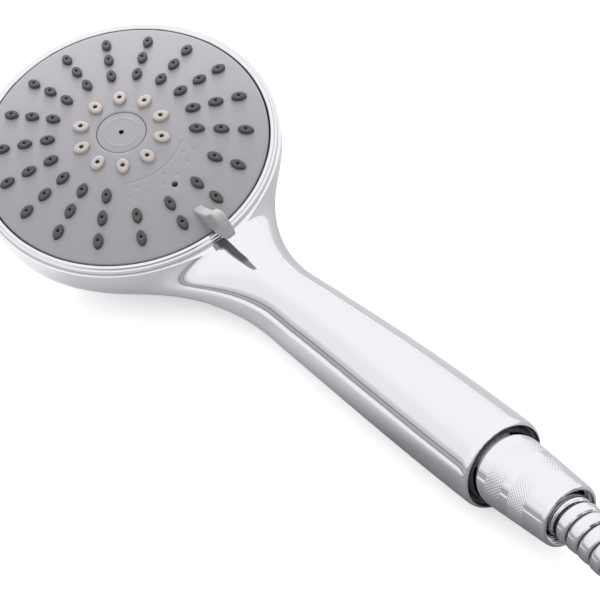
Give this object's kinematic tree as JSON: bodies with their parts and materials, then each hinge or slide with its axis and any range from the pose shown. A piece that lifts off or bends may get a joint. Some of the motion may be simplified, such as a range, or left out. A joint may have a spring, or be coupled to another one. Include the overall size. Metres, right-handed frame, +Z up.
{
  "type": "handheld shower head",
  "caption": "Chrome handheld shower head with a grey multi-spray face, a selector lever, a cone nut and a metal hose coiled for storage.",
  "frame": {"origin": "centre of the handset's footprint, on the surface that it lies on", "axes": "+X along the handle towards the hose, +Z up from the surface, +Y completes the right-handed frame; the spray face looks up and leans 12.5 degrees towards the handle"},
  "size_m": [0.4897, 0.168, 0.0568],
  "materials": {
    "chrome_plated_plastic": "mirror plated over moulded plastic",
    "grey_plate": "fine satin",
    "dark_silicone": "matt",
    "light_silicone": "matt",
    "lever_grey": "soft gloss",
    "natural_plastic": "moulded",
    "seal_rubber": "matt",
    "spring_steel": "drawn wire",
    "screw_steel": "plain",
    "nickel_brass": "nickel plated",
    "chrome_brass": "polished",
    "hose_steel": "polished spiral-wound band"
  },
  "bodies": {
    "handset": {"handle_shell": "chrome_plated_plastic", "bezel_ring": "chrome_plated_plastic", "valve_hub": "natural_plastic", "hub_o_ring": "seal_rubber", "port_seal": "seal_rubber", "port_spring": "spring_steel", "detent_spring": "spring_steel", "center_screw": "screw_steel", "screw_washer": "screw_steel", "hub_screws": "screw_steel", "waterway_tube": "natural_plastic", "inlet_nipple": "nickel_brass", "flow_restrictor": "natural_plastic", "filter_screen": "screw_steel", "hose_washer": "seal_rubber", "hose_ferrule": "nickel_brass", "hose_tube": "hose_steel", "hose_coil": "hose_steel", "far_ferrule": "nickel_brass", "far_washer": "seal_rubber"},
    "spray_face": {"spray_plate": "grey_plate", "nozzle_mat": "dark_silicone", "center_nozzle_ring": "light_silicone", "center_cap": "grey_plate", "selector_lever": "lever_grey", "distribution_plate": "natural_plastic"},
    "detent": {"detent_pin": "natural_plastic"},
    "cone_nut": {"hose_nut": "chrome_brass"},
    "tap_nut": {"far_nut": "chrome_brass"}
  },
  "joints": [
    {"name": "spray_select", "type": "hinge", "parent": "handset", "child": "spray_face", "pos_m": [-0.08543, 0, 0.03776], "axis": [0.2164, 0, 0.9763], "range_deg": [-37, 37]},
    {"name": "detent_press", "type": "slide", "parent": "handset", "child": "detent", "axis": [0.2164, 0, 0.9763], "range_m": [-0.0006, 0.0001], "stiffness_N_per_m": 1200},
    {"name": "cone_nut_turn", "type": "hinge", "parent": "handset", "child": "cone_nut", "pos_m": [0.11877, 0, 0.0155], "axis": [1, 0, 0], "continuous": true},
    {"name": "tap_nut_turn", "type": "hinge", "parent": "handset", "child": "tap_nut", "pos_m": [0.19504, 0.00775, 0.04476], "axis": [0.1219, -0.9925, 0], "continuous": true}
  ]
}
